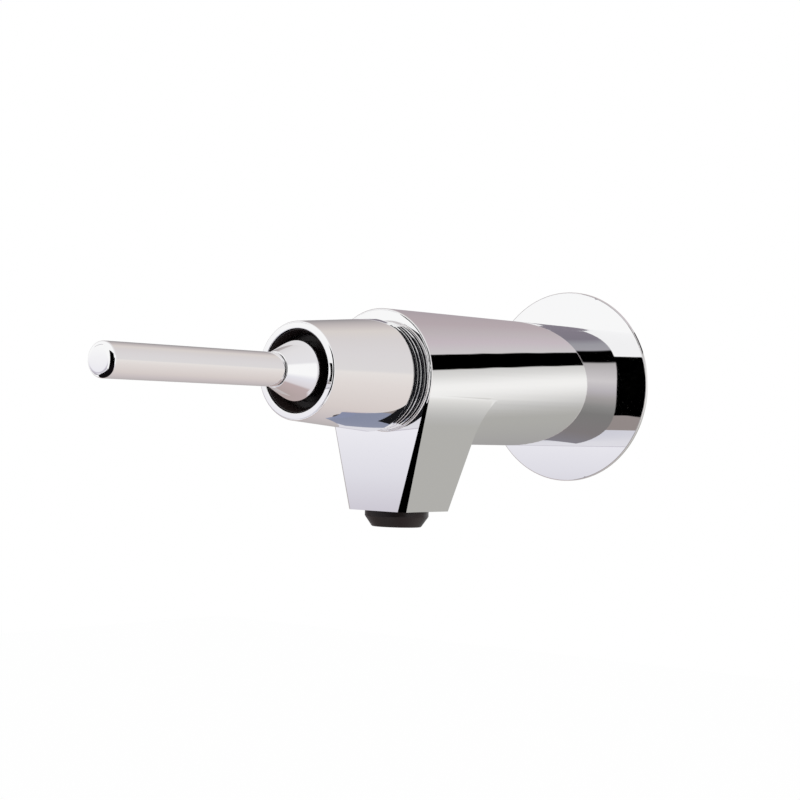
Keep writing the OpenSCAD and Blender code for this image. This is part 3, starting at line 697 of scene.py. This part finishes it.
reflection_ring(
    "barrel_reflection_tent",
    FRONT_TO_BARREL,
    TENT_REAR,
    [
        (-180, (0.36, 0.35, 0.35)),
        (-86, (0.432, 0.427, 0.404)),
        (-76, (0.437, 0.431, 0.409)),
        (-68, (0.473, 0.466, 0.445)),
        (-60, (0.52, 0.514, 0.497)),
        (-52, (0.594, 0.588, 0.575)),
        (-44, (0.685, 0.678, 0.663)),
        (-37, (0.77, 0.762, 0.745)),
        (-30, (0.85, 0.842, 0.826)),
        (-23, (0.91, 0.903, 0.886)),
        (-17, (0.943, 0.935, 0.917)),
        (-10, (0.93, 0.922, 0.905)),
        (-3, (0.85, 0.842, 0.826)),
        (4, (0.746, 0.738, 0.723)),
        (9, (0.69, 0.682, 0.668)),
        (14, (0.65, 0.642, 0.628)),
        # Black band: painted reflection, the dark stripe along the barrel.
        (14.8, (0.0, 0.0, 0.0)),
        (39.6, (0.0, 0.0, 0.0)),
        (40.4, (0.62, 0.60, 0.605)),
        (61, (0.587, 0.515, 0.553)),
        (80, (0.534, 0.479, 0.497)),
        (102, (0.485, 0.415, 0.438)),
        (125, (0.455, 0.394, 0.415)),
        (180, (0.36, 0.32, 0.36)),
    ],
    BARREL_TWIST,
)

# Standing cards: upright glowing papers at the front, beside the camera and close to the lever and the
# head.
# They show in the chrome alone, and their tones are painted reflections.
# The flat front faces mirror the pale ones, and the edges turned to the camera mirror the black ones.
BLACK = (0.0, 0.0, 0.0)
FRONT_LINE = -0.42
BAND_TONE = (0.25, 0.225, 0.267)
BAND_SLANT = 0.109


def even(low, high, colour):
    """One tone from end to end."""
    return [(low, colour), (high, colour)]


def reflection_card(name, middle, facing, width, low, high, bands, shown="both"):
    """An upright glowing card whose painted-reflection tone follows the height, and which may be clear from
    behind.
    """
    bpy.ops.object.select_all(action="DESELECT")
    bpy.ops.mesh.primitive_plane_add(
        size=1.0,
        location=(middle[0], middle[1], (low + high) / 2),
        rotation=(math.pi / 2, 0, math.radians(facing)),
    )
    card = bpy.context.object
    card.name = name
    card.scale = (width, high - low, 1)
    bpy.ops.object.transform_apply(location=True, rotation=True, scale=True)
    paper, tree, glow = reflection_paper(name)
    paint_bands(tree, glow, place_parts(tree).outputs["Z"], low, high, bands)
    hang_up(card, paper, tree, glow, shown)
    return card


reflection_card(
    "lavender_card",
    (-0.37, -0.48),
    -37.7,
    0.7,
    -0.34,
    0.04,
    [
        (-0.34, (0.40, 0.38, 0.42)),
        (-0.07, (0.62, 0.59, 0.66)),
        (-0.045, (0.78, 0.77, 0.83)),
        (-0.02, (0.88, 0.87, 0.92)),
        (0.0, (0.92, 0.91, 0.94)),
        (0.04, (1.0, 1.0, 1.0)),
    ],
)
reflection_card("black_card", (0.288, -0.397), 42, 0.5, -0.30, 0.31, even(-0.30, 0.31, BLACK))
reflection_card(
    "brown_card",
    (0.0925, FRONT_LINE),
    0,
    0.155,
    -0.49,
    -0.215,
    [(-0.49, (0.30, 0.26, 0.25)), (-0.215, (0.33, 0.29, 0.28))],
)
reflection_card(
    "blue_card",
    (-0.1425, FRONT_LINE),
    0,
    0.315,
    -0.49,
    -0.10,
    [
        (-0.49, (0.26, 0.28, 0.40)),
        (-0.325, (0.28, 0.307, 0.435)),
        (-0.30, (0.66, 0.66, 0.74)),
        (-0.215, (0.80, 0.79, 0.84)),
        (-0.10, (0.80, 0.79, 0.84)),
    ],
)
band_card = reflection_card(
    "band_card", (-0.297, FRONT_LINE), 0, 0.04, 0.075, 0.26, even(0.075, 0.26, BAND_TONE)
)
for corner in band_card.data.vertices:
    if corner.co.z > 0.1:
        corner.co.x += BAND_SLANT
reflection_card("rim_card", (0.10, -0.2285), 90, 0.063, -0.06, 0.02, even(-0.06, 0.02, BLACK))
# Blue card: painted reflection, the blue-grey lens under the head.
reflection_card(
    "lens_card",
    (-0.008, -0.14),
    180,
    0.056,
    -0.07,
    -0.0445,
    [(-0.07, (0.27, 0.295, 0.40)), (-0.0445, (0.30, 0.32, 0.42))],
    "front",
)

# Paper collars: three flat glowing rings, whole or in part, that stand across the barrel's line.
# They show in the chrome alone, and their tones are painted reflection and painted shade.
# The one near the wall tints the flange's image in the barrel, the one at the head paints shade on the lock
# ring.
# Both show from the wall's side only. The one in the head's mouth shows from the front, in the cone's base.
COLLAR_WIDENING = 1.167
END_CORNER_X = -0.0075
END_CORNER_REACH = 0.05
END_CORNER_PULL = 1.2


def reflection_collar(name, station, inner, outer, first, last, bands, wide=1.0, shown="back"):
    """A flat glowing sector round the barrel's line whose tone of painted reflection or shade follows the
    angle, clear from one side.
    """
    bpy.ops.object.select_all(action="DESELECT")
    bpy.ops.mesh.primitive_circle_add(
        vertices=180, radius=inner, location=(0, station, 0), rotation=(math.pi / 2, 0, 0)
    )
    card = bpy.context.object
    card.name = name
    bpy.ops.object.transform_apply(location=True, rotation=True, scale=True)
    bpy.ops.object.mode_set(mode="EDIT")
    bpy.ops.mesh.select_mode(type="VERT")
    bpy.ops.mesh.select_all(action="DESELECT")
    bpy.ops.object.mode_set(mode="OBJECT")
    for corner in card.data.vertices:
        bearing = math.degrees(math.atan2(corner.co.z, corner.co.x))
        corner.select = bearing < first or bearing > last
    bpy.ops.object.mode_set(mode="EDIT")
    bpy.ops.mesh.delete(type="VERT")
    bpy.ops.mesh.select_all(action="SELECT")
    bpy.ops.mesh.extrude_region_move(TRANSFORM_OT_translate={"value": (0, 0, 0)})
    grow = outer / inner
    bpy.ops.transform.resize(value=(grow, 1, grow), center_override=(0, station, 0))
    bpy.ops.mesh.select_all(action="SELECT")
    bpy.ops.transform.resize(value=(wide, 1, 1), center_override=(0, station, 0))
    bpy.ops.object.mode_set(mode="OBJECT")
    paper, tree, glow = reflection_paper(name)
    paint_round(tree, glow, bearing_of(tree, place_parts(tree)), bands)
    hang_up(card, paper, tree, glow, shown)
    return card


# Flange shade: painted reflection tones and a black band in the flange's image in the barrel.
flange_shade = reflection_collar(
    "flange_shade",
    -0.030,
    0.033,
    0.07,
    -104,
    102.8,
    [
        (-104, (0.25, 0.24, 0.27)),
        (-76, (0.233, 0.214, 0.216)),
        (-41, (0.225, 0.22, 0.214)),
        (-29, (0.284, 0.28, 0.272)),
        (-17, (0.407, 0.384, 0.379)),
        (-6, (0.54, 0.51, 0.534)),
        (9, (0.69, 0.66, 0.667)),
        (23, (0.58, 0.553, 0.56)),
        (36, (0.46, 0.44, 0.44)),
        (37, BLACK),
        (56, BLACK),
        (57, (0.40, 0.39, 0.42)),
        (69, (0.358, 0.352, 0.384)),
        (80, (0.24, 0.22, 0.26)),
        (102.8, BAND_TONE),
    ],
    COLLAR_WIDENING,
)
for corner in flange_shade.data.vertices:
    near = math.hypot(corner.co.x, corner.co.z) < END_CORNER_REACH
    if near and corner.co.z > 0 and corner.co.x < END_CORNER_X:
        corner.co.x *= END_CORNER_PULL
        corner.co.z *= END_CORNER_PULL
# Head shade: a near-black sector that paints dark shade on the lock ring.
reflection_collar("head_shade", -0.125, 0.022, 0.042, -88, 95, even(-88, 95, (0.01, 0.01, 0.012)))
reflection_collar(
    "mouth_reflection_ring",
    -0.1452,
    0.0095,
    0.014,
    -180,
    180,
    [
        (-180, (0.60, 0.55, 0.56)),
        (-120, (0.46, 0.38, 0.37)),
        (-62, (0.50, 0.41, 0.41)),
        (-54, (0.74, 0.70, 0.73)),
        (40, (0.82, 0.81, 0.83)),
        (100, (0.78, 0.76, 0.77)),
        (180, (0.62, 0.59, 0.60)),
    ],
    shown="front",
)

# Tip card: a black card that lies under the lever's end, and shows in the chrome alone.
# The rounded rim of the rod's end mirrors it as a dark crescent, a painted reflection.
bpy.ops.object.select_all(action="DESELECT")
bpy.ops.mesh.primitive_plane_add(size=1.0, location=(0.03, -0.2295, -0.03))
card = bpy.context.object
card.name = "tip_card"
card.scale = (0.12, 0.061, 1)
bpy.ops.object.transform_apply(location=True, rotation=True, scale=True)
paper, tree, glow = reflection_paper("tip_card")
glow.inputs["Color"].default_value = (0.005, 0.004, 0.005, 1)
hang_up(card, paper, tree, glow)

# Spout card: a grey glowing card, seen from the front only and in the chrome alone,
# which the flat side of the spout mirrors. Its tones are painted reflection: it fades at the top
# into the barrel's own tones, so that the side runs smoothly out of the barrel.
SPOUT_SLOPE = 0.514
FADE_LOW = -0.006
FADE_HIGH = 0.0055
CARD_FOOT = -0.0415
CARD_MIDDLE = (0.0655, -0.02, -0.05)
bpy.ops.object.select_all(action="DESELECT")
bpy.ops.mesh.primitive_plane_add(size=1.0, location=CARD_MIDDLE, rotation=(math.pi / 2, 0, 0))
card = bpy.context.object
card.name = "spout_card"
card.scale = (0.025, 0.05, 1)
bpy.ops.object.transform_apply(location=True, rotation=True, scale=True)
for corner in card.data.vertices:
    low_end = corner.co.z < CARD_MIDDLE[2]
    corner.co.x += -0.0045 if low_end else 0.0015
    corner.co.z = (CARD_FOOT if low_end else FADE_HIGH) - SPOUT_SLOPE * corner.co.x
paper, tree, glow = reflection_paper("spout_card")
place = tree.nodes.new("ShaderNodeTexCoord")
slope = tree.nodes.new("ShaderNodeVectorMath")
slope.operation = "DOT_PRODUCT"
slope.inputs[1].default_value = (SPOUT_SLOPE, 0, 1)
tree.links.new(place.outputs["Object"], slope.inputs[0])
fade = [(FADE_LOW, (0.462, 0.456, 0.433))]
for share, shade in ((0.25, 0.50), (0.4, 0.545), (0.59, 0.615), (0.79, 0.715), (0.92, 0.80)):
    height = FADE_LOW + share * (FADE_HIGH - FADE_LOW)
    fade.append((height, (shade, 0.99 * shade, 0.96 * shade)))
fade.append((FADE_HIGH, (0.88, 0.872, 0.855)))
paint_bands(tree, glow, slope.outputs["Value"], FADE_LOW, FADE_HIGH, fade)
hang_up(card, paper, tree, glow, "front")

# Lamps: two large soft boxes, one high at the left front and one at the right.
# They light the black pieces, and the chrome doesn't mirror them.
AIM_Y = -0.1
for name, place, size, power in (
    ("key_box", (-0.7, -0.9, 0.9), 0.9, 14.0),
    ("fill_box", (1.0, -0.3, 0.4), 0.8, 7.0),
):
    bpy.ops.object.light_add(type="AREA", location=place)
    lamp = bpy.context.object
    lamp.name = name
    lamp.data.size = size
    lamp.data.energy = power
    lamp.visible_glossy = False
    reach = math.hypot(place[0], place[1] - AIM_Y)
    lamp.rotation_euler = (
        math.atan2(reach, place[2]),
        0,
        math.atan2(place[1] - AIM_Y, place[0]) + math.pi / 2,
    )

# Backdrop: a white sweep all round, as the studio's paper is.
# The camera, the chrome and clear things see it white, and it lights the rest softly.
world = bpy.data.worlds.new("white_sweep")
bpy.context.scene.world = world
world.use_nodes = True
tree = world.node_tree
sweep = tree.nodes["Background"]
sweep.inputs["Color"].default_value = (1, 1, 1, 1)
seen = tree.nodes.new("ShaderNodeLightPath")
first = tree.nodes.new("ShaderNodeMath")
first.operation = "MAXIMUM"
either = tree.nodes.new("ShaderNodeMath")
either.operation = "MAXIMUM"
level = tree.nodes.new("ShaderNodeMapRange")
level.inputs["To Min"].default_value = 0.6
level.inputs["To Max"].default_value = 1.0
tree.links.new(seen.outputs["Is Camera Ray"], first.inputs[0])
tree.links.new(seen.outputs["Is Glossy Ray"], first.inputs[1])
tree.links.new(first.outputs["Value"], either.inputs[0])
tree.links.new(seen.outputs["Is Transmission Ray"], either.inputs[1])
tree.links.new(either.outputs["Value"], level.inputs["Value"])
tree.links.new(level.outputs["Result"], sweep.inputs["Strength"])
bpy.context.scene.view_settings.view_transform = "Standard"

# Camera: level with the tap, to its right front, with a long lens.
# Its place, turn and lens follow from the outline of the tap in the picture.
CAMERA_PLACE = (0.3937, -0.59009, -0.01428)
bpy.ops.object.camera_add(location=CAMERA_PLACE)
camera = bpy.context.object
camera.name = "camera"
camera.data.sensor_width = 36.0
camera.data.lens = 90.36
camera.data.clip_start = 0.01
right = (0.78250, 0.62191, 0.03016)
up = (-0.01673, -0.02742, 0.99948)
back = (0.62242, -0.78261, -0.01104)
camera.matrix_world = Matrix(
    (
        (right[0], up[0], back[0], CAMERA_PLACE[0]),
        (right[1], up[1], back[1], CAMERA_PLACE[1]),
        (right[2], up[2], back[2], CAMERA_PLACE[2]),
        (0, 0, 0, 1),
    )
)
bpy.context.scene.camera = camera
